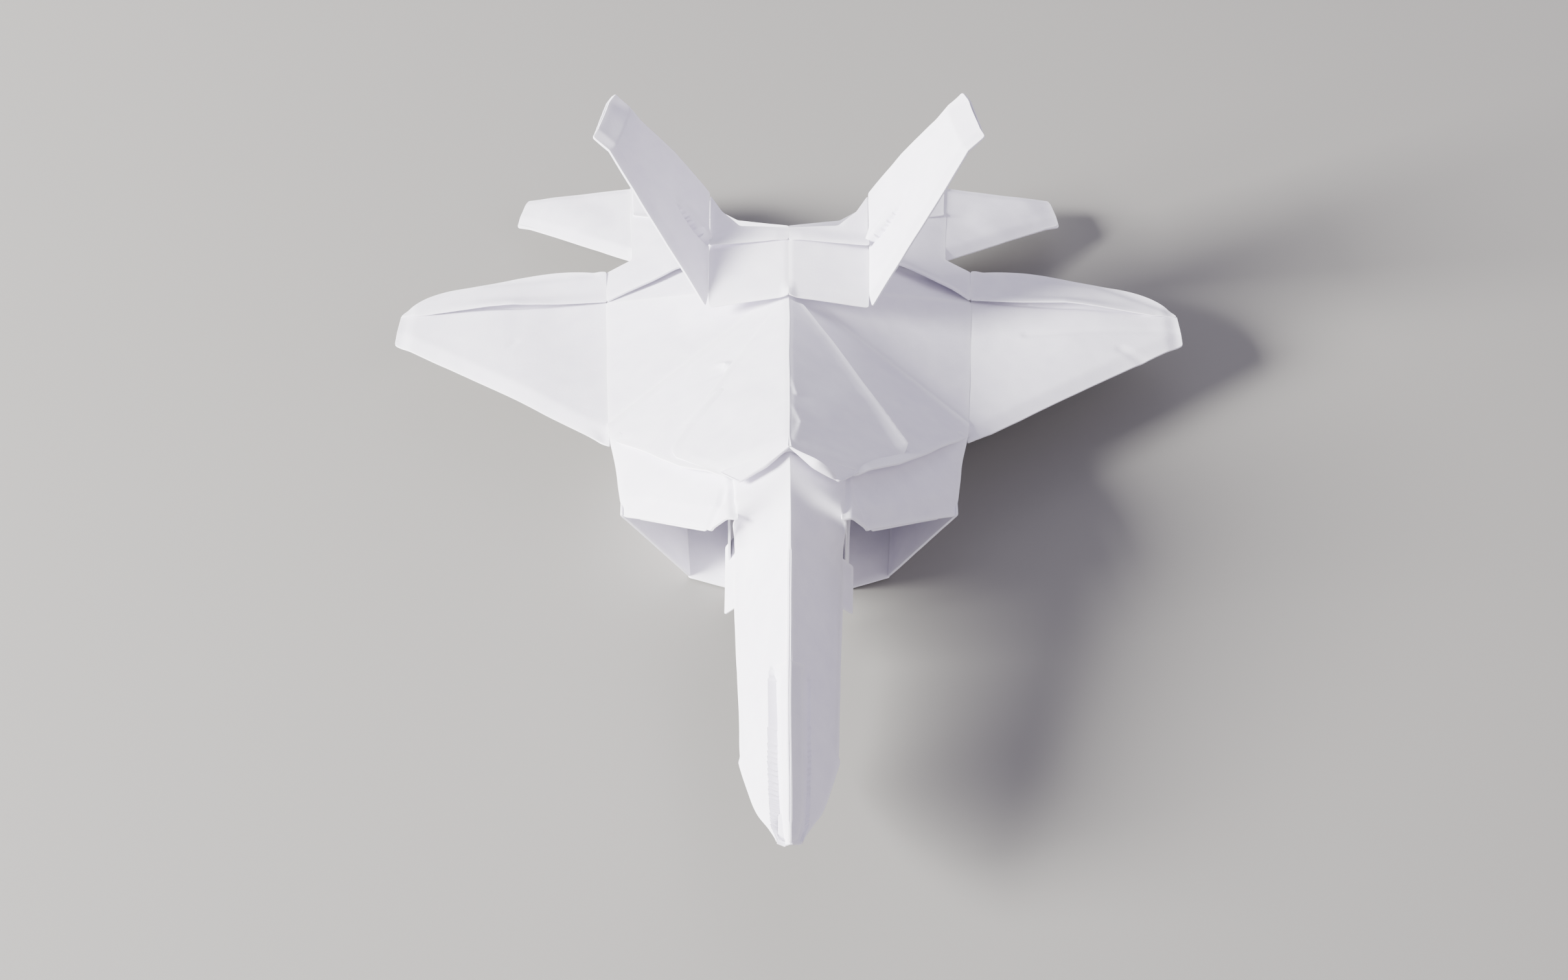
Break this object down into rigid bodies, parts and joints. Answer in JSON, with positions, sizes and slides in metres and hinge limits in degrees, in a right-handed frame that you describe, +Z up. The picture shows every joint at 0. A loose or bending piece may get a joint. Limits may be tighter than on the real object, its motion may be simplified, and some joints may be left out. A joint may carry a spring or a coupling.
{
  "type": "paper airplane",
  "caption": "Folded white paper jet with swept wings, intakes, tail planes and a pair of canted fins; wings, tail planes and fins bend at their creases.",
  "frame": {"origin": "under the middle of the airplane's length and span, at the flat underside of the belly", "axes": "+Y towards the tail, so the nose points towards -Y; +Z up; +X towards the pilot's left wing"},
  "size_m": [0.1334, 0.1504, 0.0451],
  "materials": {
    "white_paper": "matte, uncoated"
  },
  "bodies": {
    "fuselage": {"belly_left": "white_paper", "belly_right": "white_paper", "canopy_flare_left": "white_paper", "canopy_flare_right": "white_paper", "canopy_lip_left": "white_paper", "canopy_lip_right": "white_paper", "inner_wall_left": "white_paper", "inner_wall_right": "white_paper", "intake_cowl_left": "white_paper", "intake_cowl_right": "white_paper", "intake_lip_fold_left": "white_paper", "intake_lip_fold_right": "white_paper", "nose_cheek_left": "white_paper", "nose_cheek_right": "white_paper", "nose_lower_ply_left": "white_paper", "nose_lower_ply_right": "white_paper", "nose_pleat_left": "white_paper", "nose_pleat_right": "white_paper", "nose_side_left": "white_paper", "nose_side_right": "white_paper", "nose_tip_fold": "white_paper", "outer_wall_left": "white_paper", "outer_wall_right": "white_paper", "roof_flap_left": "white_paper", "roof_flap_right": "white_paper", "roof_front_left": "white_paper", "roof_front_right": "white_paper", "roof_rear_left": "white_paper", "roof_rear_right": "white_paper", "roof_tail_left": "white_paper", "roof_tail_right": "white_paper", "tail_band_front_left": "white_paper", "tail_band_front_right": "white_paper", "tail_band_rear_left": "white_paper", "tail_band_rear_right": "white_paper", "tail_deck_left": "white_paper", "tail_deck_right": "white_paper", "tail_flap_left": "white_paper", "tail_flap_right": "white_paper"},
    "wing_left": {"wing_left": "white_paper", "wing_aft_strip_left": "white_paper", "wing_tip_fold_left": "white_paper"},
    "stabilizer_left": {"stabilizer_left": "white_paper", "stabilizer_tip_fold_left": "white_paper"},
    "fin_left": {"fin_left": "white_paper", "fin_rear_ply_left": "white_paper", "fin_tip_fold_left": "white_paper"},
    "wing_right": {"wing_right": "white_paper", "wing_aft_strip_right": "white_paper", "wing_tip_fold_right": "white_paper"},
    "stabilizer_right": {"stabilizer_right": "white_paper", "stabilizer_tip_fold_right": "white_paper"},
    "fin_right": {"fin_right": "white_paper", "fin_rear_ply_right": "white_paper", "fin_tip_fold_right": "white_paper"}
  },
  "joints": [
    {"name": "wing_crease_left", "type": "hinge", "parent": "fuselage", "child": "wing_left", "pos_m": [0.03065, 0.029, 0.0115], "axis": [-0.0641, -0.9966, 0.0522], "range_deg": [-15, 45]},
    {"name": "wing_crease_right", "type": "hinge", "parent": "fuselage", "child": "wing_right", "pos_m": [-0.03065, 0.029, 0.0115], "axis": [-0.0641, 0.9966, -0.0522], "range_deg": [-15, 45]},
    {"name": "stabilizer_crease_left", "type": "hinge", "parent": "fuselage", "child": "stabilizer_left", "pos_m": [0.0282, 0.064, 0.00956], "axis": [-0.0561, -0.9916, 0.1163], "range_deg": [-12, 35]},
    {"name": "stabilizer_crease_right", "type": "hinge", "parent": "fuselage", "child": "stabilizer_right", "pos_m": [-0.0282, 0.064, 0.00956], "axis": [-0.0561, 0.9916, -0.1163], "range_deg": [-12, 35]},
    {"name": "fin_crease_left", "type": "hinge", "parent": "fuselage", "child": "fin_left", "pos_m": [0.0136, 0.03755, 0.02249], "axis": [0, -0.977, -0.213], "range_deg": [-30, 40]},
    {"name": "fin_crease_right", "type": "hinge", "parent": "fuselage", "child": "fin_right", "pos_m": [-0.0136, 0.03755, 0.02249], "axis": [0, 0.977, 0.213], "range_deg": [-30, 40]}
  ]
}
